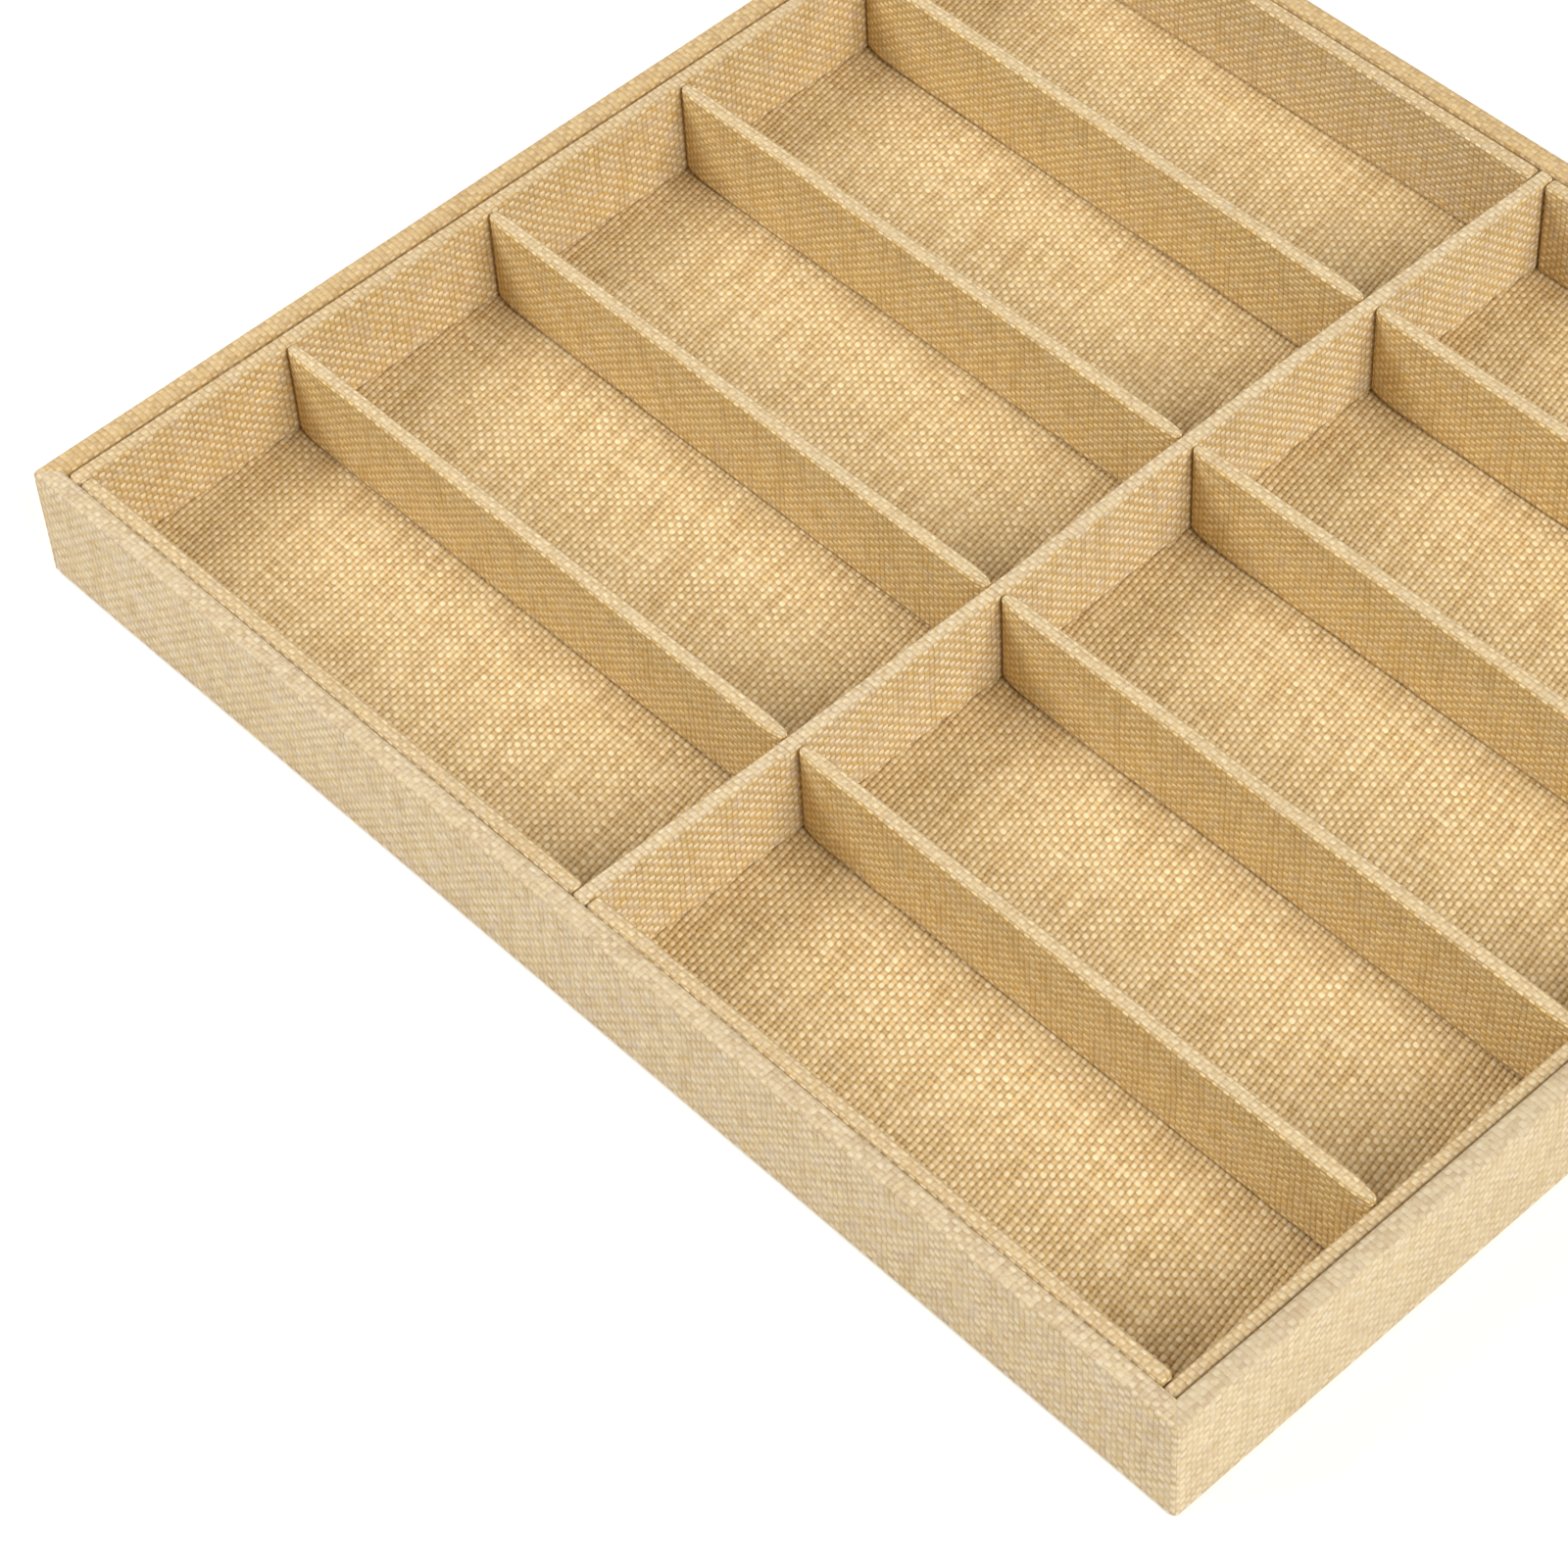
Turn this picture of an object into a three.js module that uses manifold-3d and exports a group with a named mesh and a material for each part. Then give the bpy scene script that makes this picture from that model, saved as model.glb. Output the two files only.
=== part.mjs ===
// Sunglasses display tray: a linen-covered frame that holds a lift-out insert of long compartments.
// Units are millimetres. +Z is up, +X runs along the compartments and +Y runs across them.
// The origin is the middle of the underside, on the surface that the tray rests on.

import * as THREE from 'three';
import { mergeVertices } from 'three/addons/utils/BufferGeometryUtils.js';
import Module from 'manifold-3d';

const wasm = await Module();
wasm.setup();

// The compartments, which set the size of everything around them
const compartmentLength = 175;
const compartmentWidth = 60;
const compartmentDepth = 28.5;
const compartmentRows = 5;

// Sheet stock
const clothThickness = 0.6;
const glueLine = 0.1;
const wallBoardThickness = 4;
const baseBoardThickness = 2;
const cardThickness = 2.5;
const floorCardThickness = 1;
const bottomSheetThickness = 0.4;

// Eased edges of the boards and cards that the cloth folds over
const wallBoardEdgeRadius = 1.2;
const cardEdgeRadius = 0.5;

// Fits between the pieces
const insertClearance = 0.8;
const insertSeatGap = 0.1;
const dividerEndGap = 0.3;
const cornerSeamGap = 0.2;
const rimStep = 0.7;

// The cloth turned under the base, and the sheet that covers it
const hemWidth = 14;
const bottomSheetInset = 2.5;

// One overrun for every cut that has to pass right through a face
const cutOverrun = 1;

// Half the number of flat steps in each quarter circle of a folded edge
const foldSegments = 3;

// Thicknesses of the covered pieces
const clothLayer = glueLine + clothThickness;
const wallThickness = wallBoardThickness + clothLayer + clothLayer;
const coveredCard = cardThickness + clothLayer + clothLayer;

// Heights, from the surface that the tray rests on
const hemBottom = bottomSheetThickness + glueLine;
const baseBottom = hemBottom + clothLayer;
const baseTop = baseBottom + baseBoardThickness;
const wallBoardBottom = baseTop + glueLine;
const insertBottom = baseTop + insertSeatGap;
const floorCardTop = insertBottom + floorCardThickness;
const floorTop = floorCardTop + clothLayer;
const uprightBottom = floorTop + glueLine;
const uprightTop = floorTop + compartmentDepth;
const rimTop = uprightTop + rimStep;
const wallBoardTop = rimTop - clothLayer;

// Lengths, worked outwards from the compartments
const openingLength = compartmentLength + coveredCard + compartmentLength;
const insertLength = openingLength + coveredCard + coveredCard;
const frameLength = insertLength + 2 * (insertClearance + wallThickness);

// Widths: the frame's inside is shared equally by the rows, and the liners take their room from the end rows
const rowPitch = compartmentWidth + coveredCard;
const frameInsideWidth = compartmentRows * rowPitch;
const frameWidth = frameInsideWidth + wallThickness + wallThickness;
const insertWidth = frameInsideWidth - insertClearance - insertClearance;
const openingWidth = insertWidth - coveredCard - coveredCard;

// Places of the insert's upright pieces
const compartmentMiddle = (coveredCard + compartmentLength) / 2;
const sideLinerPlace = (openingLength + coveredCard) / 2;
const endLinerPlace = (openingWidth + coveredCard) / 2;
const shortUprightLength = compartmentLength - 2 * dividerEndGap;

// Finishes
const linen = new THREE.MeshStandardMaterial({ color: 0xd9bd8d, roughness: 0.95, metalness: 0 });
const paleLinen = new THREE.MeshStandardMaterial({ color: 0xe2cda4, roughness: 0.95, metalness: 0 });
const fibreboard = new THREE.MeshStandardMaterial({ color: 0xa9855a, roughness: 0.85, metalness: 0 });
const greyCard = new THREE.MeshStandardMaterial({ color: 0x9a9488, roughness: 0.9, metalness: 0 });
const kraftPaper = new THREE.MeshStandardMaterial({ color: 0x6f5a41, roughness: 0.9, metalness: 0 });

const tray = new THREE.Group();
const frame = new THREE.Group();
const insert = new THREE.Group();
tray.add(frame, insert);

// A named mesh, placed in its group
function addPiece(group, name, geometry, material, place, turn = 0) {
  const mesh = new THREE.Mesh(geometry, material);
  mesh.name = name;
  mesh.position.set(place.x, place.y, place.z);
  mesh.rotation.z = turn;
  group.add(mesh);
  return mesh;
}

// A closed solid that can be cut
function toSolid(geometry) {
  const bare = new THREE.BufferGeometry();
  bare.setAttribute('position', geometry.attributes.position);
  bare.setIndex(geometry.index);
  const merged = mergeVertices(bare);
  return new wasm.Manifold(
    new wasm.Mesh({
      numProp: 3,
      vertProperties: Float32Array.from(merged.attributes.position.array),
      triVerts: Uint32Array.from(merged.index.array),
    }),
  );
}

// The geometry of a cut solid
function toGeometry(solid) {
  const mesh = solid.getMesh();
  const geometry = new THREE.BufferGeometry();
  geometry.setAttribute('position', new THREE.BufferAttribute(mesh.vertProperties, mesh.numProp));
  geometry.setIndex(new THREE.BufferAttribute(mesh.triVerts, 1));
  const flat = geometry.toNonIndexed();
  flat.computeVertexNormals();
  return flat;
}

function cut(body, tool) {
  return toGeometry(toSolid(body).subtract(toSolid(tool)));
}

// The cross-section of an upright board, with its two top edges eased
function uprightSection(left, right, bottom, top, radius) {
  const section = new THREE.Shape();
  section.moveTo(left, bottom);
  section.lineTo(right, bottom);
  section.lineTo(right, top - radius);
  section.absarc(right - radius, top - radius, radius, 0, Math.PI / 2, false);
  section.lineTo(left + radius, top);
  section.absarc(left + radius, top - radius, radius, Math.PI / 2, Math.PI, false);
  section.closePath();
  return section;
}

// A section drawn as depth and height, run along +X and centred on the origin
function runAlong(section, length) {
  const geometry = new THREE.ExtrudeGeometry(section, {
    depth: length,
    bevelEnabled: false,
    steps: 1,
    curveSegments: foldSegments,
  });
  const points = geometry.attributes.position;
  for (let i = 0; i < points.count; i += 1) {
    const depth = points.getX(i);
    const height = points.getY(i);
    const along = points.getZ(i);
    points.setXYZ(i, along - length / 2, depth, height);
  }
  return geometry;
}

// The same run with both ends mitred, for a piece whose depth is measured inwards from the tray's outside
function runMitred(section, length) {
  const geometry = runAlong(section, length);
  const points = geometry.attributes.position;
  for (let i = 0; i < points.count; i += 1) {
    const along = points.getX(i);
    const end = length / 2 - points.getY(i) - cornerSeamGap / 2;
    points.setX(i, Math.sign(along) * end);
  }
  return geometry;
}

// The cross-section of the cloth on a wall: a hem under the base, the outside, the rim and the inside
function wallClothSection() {
  const outerTopRadius = wallBoardEdgeRadius + clothLayer;
  const innerTopRadius = wallBoardEdgeRadius + glueLine;
  const section = new THREE.Shape();
  section.moveTo(hemWidth, hemBottom);
  section.lineTo(hemWidth, hemBottom + clothThickness);
  section.lineTo(clothThickness, hemBottom + clothThickness);
  section.lineTo(clothThickness, rimTop - clothThickness - innerTopRadius);
  section.absarc(
    clothThickness + innerTopRadius,
    rimTop - clothThickness - innerTopRadius,
    innerTopRadius,
    Math.PI,
    Math.PI / 2,
    true,
  );
  section.lineTo(wallThickness - clothThickness - innerTopRadius, rimTop - clothThickness);
  section.absarc(
    wallThickness - clothThickness - innerTopRadius,
    rimTop - clothThickness - innerTopRadius,
    innerTopRadius,
    Math.PI / 2,
    0,
    true,
  );
  section.lineTo(wallThickness - clothThickness, wallBoardBottom);
  section.lineTo(wallThickness, wallBoardBottom);
  section.lineTo(wallThickness, rimTop - outerTopRadius);
  section.absarc(
    wallThickness - outerTopRadius,
    rimTop - outerTopRadius,
    outerTopRadius,
    0,
    Math.PI / 2,
    false,
  );
  section.lineTo(outerTopRadius, rimTop);
  section.absarc(outerTopRadius, rimTop - outerTopRadius, outerTopRadius, Math.PI / 2, Math.PI, false);
  section.lineTo(0, hemBottom + clothLayer);
  section.absarc(clothLayer, hemBottom + clothLayer, clothLayer, Math.PI, Math.PI * 1.5, false);
  section.closePath();
  return section;
}

// The outer frame: a base board, four wall boards on it, their cloth and the sheet underneath
function buildFrame() {
  const baseMiddle = { x: 0, y: 0, z: (baseBottom + baseTop) / 2 };
  const base = new THREE.BoxGeometry(
    frameLength - 2 * clothLayer,
    frameWidth - 2 * clothLayer,
    baseBoardThickness,
  );
  addPiece(frame, 'base_board', base, fibreboard, baseMiddle);

  const sheet = new THREE.BoxGeometry(
    frameLength - 2 * bottomSheetInset,
    frameWidth - 2 * bottomSheetInset,
    bottomSheetThickness,
  );
  addPiece(frame, 'bottom_sheet', sheet, kraftPaper, { x: 0, y: 0, z: bottomSheetThickness / 2 });

  const boardSection = uprightSection(
    clothLayer,
    clothLayer + wallBoardThickness,
    wallBoardBottom,
    wallBoardTop,
    wallBoardEdgeRadius,
  );
  const sides = [
    { name: 'front', length: frameLength, x: 0, y: -frameWidth / 2, turn: 0 },
    { name: 'right', length: frameWidth, x: frameLength / 2, y: 0, turn: Math.PI / 2 },
    { name: 'back', length: frameLength, x: 0, y: frameWidth / 2, turn: Math.PI },
    { name: 'left', length: frameWidth, x: -frameLength / 2, y: 0, turn: -Math.PI / 2 },
  ];
  for (const side of sides) {
    const place = { x: side.x, y: side.y, z: 0 };
    const board = runMitred(boardSection, side.length);
    const cloth = runMitred(wallClothSection(), side.length);
    addPiece(frame, `wall_board_${side.name}`, board, fibreboard, place, side.turn);
    addPiece(frame, `wall_linen_${side.name}`, cloth, paleLinen, place, side.turn);
  }
}

// The insert's floor: a card with cloth over its top and round its edges
function buildFloor() {
  const cardLength = insertLength - 2 * clothLayer;
  const cardWidth = insertWidth - 2 * clothLayer;
  const card = new THREE.BoxGeometry(cardLength, cardWidth, floorCardThickness);
  addPiece(insert, 'floor_card', card, greyCard, { x: 0, y: 0, z: (insertBottom + floorCardTop) / 2 });

  const height = floorTop - insertBottom;
  const outside = new THREE.BoxGeometry(insertLength, insertWidth, height);
  const hollowDepth = height - clothThickness + cutOverrun;
  const hollow = new THREE.BoxGeometry(
    insertLength - 2 * clothThickness,
    insertWidth - 2 * clothThickness,
    hollowDepth,
  );
  hollow.translate(0, 0, height / 2 - clothThickness - hollowDepth / 2);
  const place = { x: 0, y: 0, z: (insertBottom + floorTop) / 2 };
  addPiece(insert, 'floor_linen', cut(outside, hollow), linen, place);
}

// An upright card and the cloth folded over its top, both faces and both ends
function addCoveredCard(name, length, place, turn) {
  const height = uprightTop - uprightBottom;
  const cardHeight = height - clothLayer;
  const card = runAlong(
    uprightSection(-cardThickness / 2, cardThickness / 2, 0, cardHeight, cardEdgeRadius),
    length - 2 * clothLayer,
  );
  const outside = runAlong(
    uprightSection(-coveredCard / 2, coveredCard / 2, 0, height, cardEdgeRadius + clothLayer),
    length,
  );
  const hollow = runAlong(
    uprightSection(
      -cardThickness / 2 - glueLine,
      cardThickness / 2 + glueLine,
      -cutOverrun,
      cardHeight + glueLine,
      cardEdgeRadius + glueLine,
    ),
    length - 2 * clothThickness,
  );
  const spot = { x: place.x, y: place.y, z: uprightBottom };
  addPiece(insert, `${name}_card`, card, greyCard, spot, turn);
  addPiece(insert, `${name}_linen`, cut(outside, hollow), linen, spot, turn);
}

// The liners against the frame: whole ones across both ends, and two on each long side
function buildLiners() {
  const across = Math.PI / 2;
  addCoveredCard('liner_left', insertWidth, { x: -sideLinerPlace, y: 0 }, across);
  addCoveredCard('liner_right', insertWidth, { x: sideLinerPlace, y: 0 }, across);
  for (const [end, y] of [['front', -endLinerPlace], ['back', endLinerPlace]]) {
    addCoveredCard(`liner_${end}_left`, shortUprightLength, { x: -compartmentMiddle, y }, 0);
    addCoveredCard(`liner_${end}_right`, shortUprightLength, { x: compartmentMiddle, y }, 0);
  }
}

// The dividers: one across the middle, and short ones between it and the liners
function buildDividers() {
  addCoveredCard('centre_divider', insertWidth, { x: 0, y: 0 }, Math.PI / 2);
  for (let row = 1; row < compartmentRows; row += 1) {
    const y = (row - compartmentRows / 2) * rowPitch;
    addCoveredCard(`divider_left_${row}`, shortUprightLength, { x: -compartmentMiddle, y }, 0);
    addCoveredCard(`divider_right_${row}`, shortUprightLength, { x: compartmentMiddle, y }, 0);
  }
}

buildFrame();
buildFloor();
buildLiners();
buildDividers();

export default tray;
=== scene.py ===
"""Dresses the sunglasses display tray: linen over its walls, floor, liners and dividers."""

import math
from collections import namedtuple
from functools import partial

import bmesh
import bpy
from bpy.props import FloatProperty, FloatVectorProperty, PointerProperty
from mathutils import Matrix, Vector, noise


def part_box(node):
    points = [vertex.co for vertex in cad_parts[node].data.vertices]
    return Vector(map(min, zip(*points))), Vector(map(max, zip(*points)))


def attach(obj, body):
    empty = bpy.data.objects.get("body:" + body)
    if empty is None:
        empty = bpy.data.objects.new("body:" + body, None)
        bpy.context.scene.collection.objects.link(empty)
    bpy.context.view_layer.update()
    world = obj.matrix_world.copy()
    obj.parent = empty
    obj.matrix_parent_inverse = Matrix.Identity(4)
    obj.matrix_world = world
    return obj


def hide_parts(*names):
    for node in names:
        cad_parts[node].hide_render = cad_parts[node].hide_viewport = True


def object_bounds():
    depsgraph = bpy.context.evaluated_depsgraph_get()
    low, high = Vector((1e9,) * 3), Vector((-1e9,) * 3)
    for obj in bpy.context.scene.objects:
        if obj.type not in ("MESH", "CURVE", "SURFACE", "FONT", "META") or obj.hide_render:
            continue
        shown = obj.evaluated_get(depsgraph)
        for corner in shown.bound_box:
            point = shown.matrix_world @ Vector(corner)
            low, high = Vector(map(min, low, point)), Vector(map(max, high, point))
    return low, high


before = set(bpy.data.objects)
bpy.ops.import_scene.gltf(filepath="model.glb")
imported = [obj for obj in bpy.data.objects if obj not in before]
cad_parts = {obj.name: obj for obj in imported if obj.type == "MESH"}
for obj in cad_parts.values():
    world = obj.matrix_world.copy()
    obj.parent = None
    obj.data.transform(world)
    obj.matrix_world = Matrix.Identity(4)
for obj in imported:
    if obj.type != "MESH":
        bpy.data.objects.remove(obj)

bl_info = {
    "name": "Linen Display Tray",
    "version": (1, 0, 0),
    "blender": (4, 5, 0),
    "location": "3D View > Sidebar > Tray",
    "description": "Covers the boards and cards of a sunglasses display tray with coarse linen",
    "category": "Object",
}

MILLIMETRE = 0.001
WEAVE_MAP = "Weave"
ALONG_X = Vector((1, 0, 0))
ALONG_Y = Vector((0, 1, 0))
UP = Vector((0, 0, 1))
CAD_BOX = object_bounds()
CENTRE_FRONT, CENTRE_BACK = (corner.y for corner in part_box("centre_divider_linen"))

# How far each wall is turned from the front one, in degrees
WALL_TURNS = {"front": 0, "right": 90, "back": 180, "left": -90}

# How far the pieces across the tray stand off their lines, in mm to the right, from front to back
ACROSS_WANDER = {
    "liner_left": (0.2, 0.3, 0.3, 0.2),
    "liner_right": (0.3, 0.35, 0.3, 0.35),
    "centre_divider": (0.8, 1.5, 1.5, 0.2, -0.2, 0.5),
}

# The same for the pieces along the tray, in mm to the back, at their outer and inner ends
ALONG_WANDER = {
    "divider_left_1": (0.6, 0.3),
    "divider_left_2": (1.2, 0.3),
    "divider_left_3": (1.6, 0.8),
    "divider_left_4": (1.7, 0.1),
    "divider_right_1": (-0.3, 0.5),
    "divider_right_2": (-1.3, 0.2),
    "divider_right_3": (-0.3, 0.7),
    "divider_right_4": (-0.3, 0.3),
    "liner_front_left": (-0.4, -0.35),
    "liner_front_right": (-0.35, -0.4),
    "liner_back_left": (0.3, 0.0),
    "liner_back_right": (0.4, 0.1),
}

# How much lower than its solid the top of a piece stands, in mm
SINK = {"liner_right": 1.2}

# How finely the cloths are cut up, so that they can bend and wave, and where the cuts lie near
# the drawn-in ends of the dividers and the round corners of the walls, as shares of these
UPRIGHT_STEP = 6 * MILLIMETRE
UPRIGHT_RISE = 5 * MILLIMETRE
WALL_STEP = 6 * MILLIMETRE
FLOOR_STEP = 9 * MILLIMETRE
FLOOR_MARGIN = 2 * MILLIMETRE
SOFT_END_CUTS = (0.35, 0.55, 0.8)
CORNER_CUTS = (0.3, 0.5, 0.7, 0.85)

# The soft waves: their number per metre, and their height as a share of the setting's
WAVE_SCALE = 28.0
FLOOR_WAVE_SCALE = 22.0
FLOOR_WAVE_SHARE = 0.6
FOOT_WAVE_SCALE = 90
FOOT_WAVE_SHARE = 0.8

# How high up a divider the lift of its foot is felt
FOOT_RISE = 6 * MILLIMETRE

# How far the cards stay inside the cloth, and the rounding of their top edges
CARD_CLEARANCE = 0.1 * MILLIMETRE
CARD_RADIUS = 0.5 * MILLIMETRE

# Where two walls meet: half the gap, how deep and how wide the tuck is, and the cloth's thickness
# there, as a share of its full thickness
SEAM_GAP = 0.006 * MILLIMETRE
SEAM_TUCK = 0.03 * MILLIMETRE
SEAM_WIDTH = 0.9 * MILLIMETRE
SEAM_THICKNESS = 0.012

# How far from a height or a seam a corner of a face may lie and still count as on it, in metres
LEVEL_MARGIN = 1e-6
SEAM_MARGIN = 1e-7

# Where in the noise the waves of each group of pieces start
END_LINER_SEED = 10
SIDE_LINER_SEED = 14
CENTRE_SEED = 20
SHORT_DIVIDER_SEED = 30

# How a piece's cloth looks: half widths of its threads, how much they go up and down, how far
# apart their two colours are, how much painted shade darkens it between them, how cloudy its dye
# is, how much its fibres show, and the band of the flat cloth that lies pressed over a top edge, if
# it has one
Weave = namedtuple(
    "Weave",
    "warp_reach weft_reach warp_swing weft_swing contrast depth clouding grain "
    "fold_middle fold_half_width",
)
FLOOR_WEAVE = Weave(
    warp_reach=0.43, weft_reach=0.49, warp_swing=0.32, weft_swing=0.36, contrast=0.5,
    depth=0.95, clouding=0.2, grain=0.5, fold_middle=0.0, fold_half_width=None,
)
UPRIGHT_WEAVE = Weave(
    warp_reach=0.54, weft_reach=0.55, warp_swing=0.38, weft_swing=0.34, contrast=1.0,
    depth=0.66, clouding=0.62, grain=0.45, fold_middle=0.0, fold_half_width=0.0016,
)
WALL_WEAVE = Weave(
    warp_reach=0.54, weft_reach=0.55, warp_swing=0.3, weft_swing=0.26, contrast=0.6,
    depth=0.5, clouding=0.55, grain=0.65, fold_middle=0.0027, fold_half_width=0.0026,
)
SMOOTH_WALL_WEAVE = WALL_WEAVE._replace(
    warp_reach=0.56, weft_reach=0.58, warp_swing=0.18, weft_swing=0.16, contrast=0.4,
    depth=0.28, clouding=0.3,
)

# By how much each kind of piece's threads are coloured off the cloth's colours. These are painted
# light and shade: the short dividers' warmer tone is painted shade for their shaded faces, the
# centre divider's paler tone and the front and right walls' paler, greyer tones are painted light,
# the other walls' darker, more golden tone is painted shade, and the right wall's darker fold is
# painted shade on its rim
LINER_TONE = (0.99, 0.99, 1.0)
SHORT_DIVIDER_PAINTED_SHADE = (1.03, 0.99, 0.84)
CENTRE_PAINTED_LIGHT = (1.03, 1.06, 1.14)
FRONT_WALL_PAINTED_LIGHT = (0.79, 0.815, 0.92)
RIGHT_WALL_PAINTED_LIGHT = (0.78, 0.82, 0.96)
OTHER_WALL_PAINTED_SHADE = (0.96, 0.92, 0.86)
RIGHT_FOLD_PAINTED_SHADE = 0.85

# The colours of cards, boards and paper, each with that of its flecks
GREY_CARD = (0.34, 0.31, 0.26), (0.12, 0.10, 0.08)
FIBREBOARD = (0.42, 0.28, 0.15), (0.22, 0.13, 0.06)
KRAFT_PAPER = (0.38, 0.26, 0.15), (0.50, 0.38, 0.25)

# How much closer the long threads lie on an upright face than on the floor, where the cloth is
# drawn open and where it is drawn close
OPEN_PULL = 0.93
CLOSE_PULL = 1.1

# The weave: how far its threads drift, in threads, how closely that changes, per metre, and how
# high the cross threads and the long threads stand
DRIFT = 0.8
DRIFT_SCALE = 70.0
WARP_HEIGHT = 0.6
WEFT_HEIGHT = 0.42

# How softly a pressed fold ends, and how much of the fold's own colour it takes
FOLD_EDGE = 0.8 * MILLIMETRE
FOLD_SHARE = 0.6

# The painted shade along a divider's foot: how far up it starts, and where it is full
FOOT_SHADE_START = 1.2 * MILLIMETRE
FOOT_SHADE_FULL = 0.2 * MILLIMETRE

# The lights: the side of each square and its distance in metres, and its direction in degrees,
# round from the right and up from the floor
Stand = namedtuple("Stand", "size distance azimuth elevation")
RIGHT_LIGHT = Stand(size=1.9, distance=3.5, azimuth=0, elevation=40)
LEFT_LIGHT = Stand(size=1.0, distance=2.2, azimuth=180, elevation=45)
FRONT_LIGHT = Stand(size=1.0, distance=2.2, azimuth=-125, elevation=40)

# The studio floor: half its side in metres, and how far it lies below the tray
FLOOR_REACH = 3
FLOOR_DROP = 0.05 * MILLIMETRE

# The camera: its place in metres, how it is turned, tipped and rolled in degrees, and its sensor
CAMERA_PLACE = (0.5392, -0.5492, 0.8598)
CAMERA_TURN = 50.063
CAMERA_TIP = 39.909
CAMERA_ROLL = -4.198
SENSOR_WIDTH = 36


def setting(name, description, default, kind=FloatProperty, **rest):
    """A value that a user can change"""
    return kind(name=name, description=description, default=default, **rest)


a_length = partial(setting, unit="LENGTH", precision=5)
a_power = partial(setting, subtype="POWER", unit="POWER")
a_colour = partial(setting, kind=FloatVectorProperty, subtype="COLOR", size=3)


class TrayClothSettings(bpy.types.PropertyGroup):
    """The linen: its threads, thickness and colours"""

    warp_spacing: a_length("Warp Spacing", "Distance between the threads across a piece", 0.00165)
    weft_spacing: a_length("Weft Spacing", "Distance between the threads along a piece", 0.00138)
    relief: a_length("Thread Relief", "Height of the threads above the holes between them", 0.0006)
    thickness: a_length("Cloth Thickness", "Thickness of the linen", 0.0006)
    floor_skew: setting("Floor Skew", "Slope at which the floor's cross threads run off square", 0.18)
    warp_colour: a_colour(
        "Cross Thread Colour", "Colour of the pale threads that cross a piece", (0.875, 0.72, 0.435)
    )
    weft_colour: a_colour(
        "Long Thread Colour", "Colour of the golden threads that run along a piece", (0.64, 0.425, 0.15)
    )
    golden_colour: a_colour("Golden Colour", "Colour of the golden places", (0.77, 0.51, 0.135))
    grey_colour: a_colour("Greyish Colour", "Colour of the greyish places", (0.73, 0.605, 0.44))
    lean_colour: a_colour(
        "Lean Thread Colour", "Colour of the thin, dark stretches of thread", (0.52, 0.325, 0.095)
    )
    fold_colour: a_colour(
        "Fold Colour", "Colour that the threads lean to where they go over an edge", (0.66, 0.54, 0.36)
    )
    # Painted shade: a darker, more golden fold colour for the rims of the left and back walls, and half
    # of it on the liners' folds
    shaded_fold_colour: a_colour(
        "Golden Fold Colour",
        "The same on the left and back walls, in part on liners",
        (0.55, 0.39, 0.19),
    )
    slub_colour: a_colour(
        "Slub Colour", "Colour of the thick, bleached stretches of thread", (0.89, 0.77, 0.50)
    )
    # Painted shade: the dark colour down between the threads stands for the shade in the holes, and
    # also paints the shade at the dividers' feet
    hole_shade_colour: a_colour("Hole Colour", "Colour down between the threads", (0.26, 0.115, 0.02))


class TrayShapeSettings(bpy.types.PropertyGroup):
    """How softly the cloth goes round the boards and cards"""

    rim_radius: a_length("Rim Radius", "Rounding of the two edges of the rim", 0.0012)
    corner_radius: a_length("Corner Radius", "Rounding of the tray's four upright corners", 0.001)
    foot_radius: a_length("Foot Radius", "Rounding where the cloth turns under a piece", 0.0007)
    top_radius: a_length("Top Radius", "Rounding of the liners' and dividers' top edges", 0.0009)
    end_radius: a_length("End Radius", "Rounding of the short dividers' upright edges", 0.0013)
    liner_end_radius: a_length(
        "Liner End Radius", "Rounding of the other pieces' upright edges", 0.0011
    )
    end_reach: a_length("End Reach", "How far cloths across the tray stand out at their ends", 0.0004)
    end_gap: a_length("End Gap", "How far the other cloths stand back at their ends", 0.0003)
    soft_end_length: a_length("Soft End Length", "How much of a divider's end is drawn in", 0.008)
    soft_end_draw: setting("Soft End Draw", "How far it is drawn in, as a share of its thickness", 0.5)
    foot_lift: a_length("Foot Lift", "How far a divider's foot is lifted at its ends", 0.0014)
    foot_lift_length: a_length("Foot Lift Length", "How far along a divider its foot is lifted", 0.03)
    unevenness: a_length("Unevenness", "Height of the soft waves left by hand covering", 0.00016)


class TrayStageSettings(bpy.types.PropertyGroup):
    """The floor, the lights and the camera"""

    floor_colour: a_colour("Floor Colour", "Colour of the studio floor", (0.97, 0.97, 0.97))
    right_power: a_power("Right Light", "Power of the large light on the right", 121.0)
    left_power: a_power("Left Light", "Power of the light on the left", 18.0)
    front_power: a_power("Front Light", "Power of the light at the front, a little to the left", 26.0)
    room_light: setting("Room Light", "Strength of the even light from all round", 0.26)
    room_colour: a_colour("Room Colour", "Colour of the even light from all round", (1.0, 0.93, 0.8))
    floor_glow: setting(
        "Floor Glow", "Light that the studio floor gives off, to stay white near the tray", 0.08
    )
    lens: setting("Lens", "Focal length of the camera", 111.7, unit="CAMERA")


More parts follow.
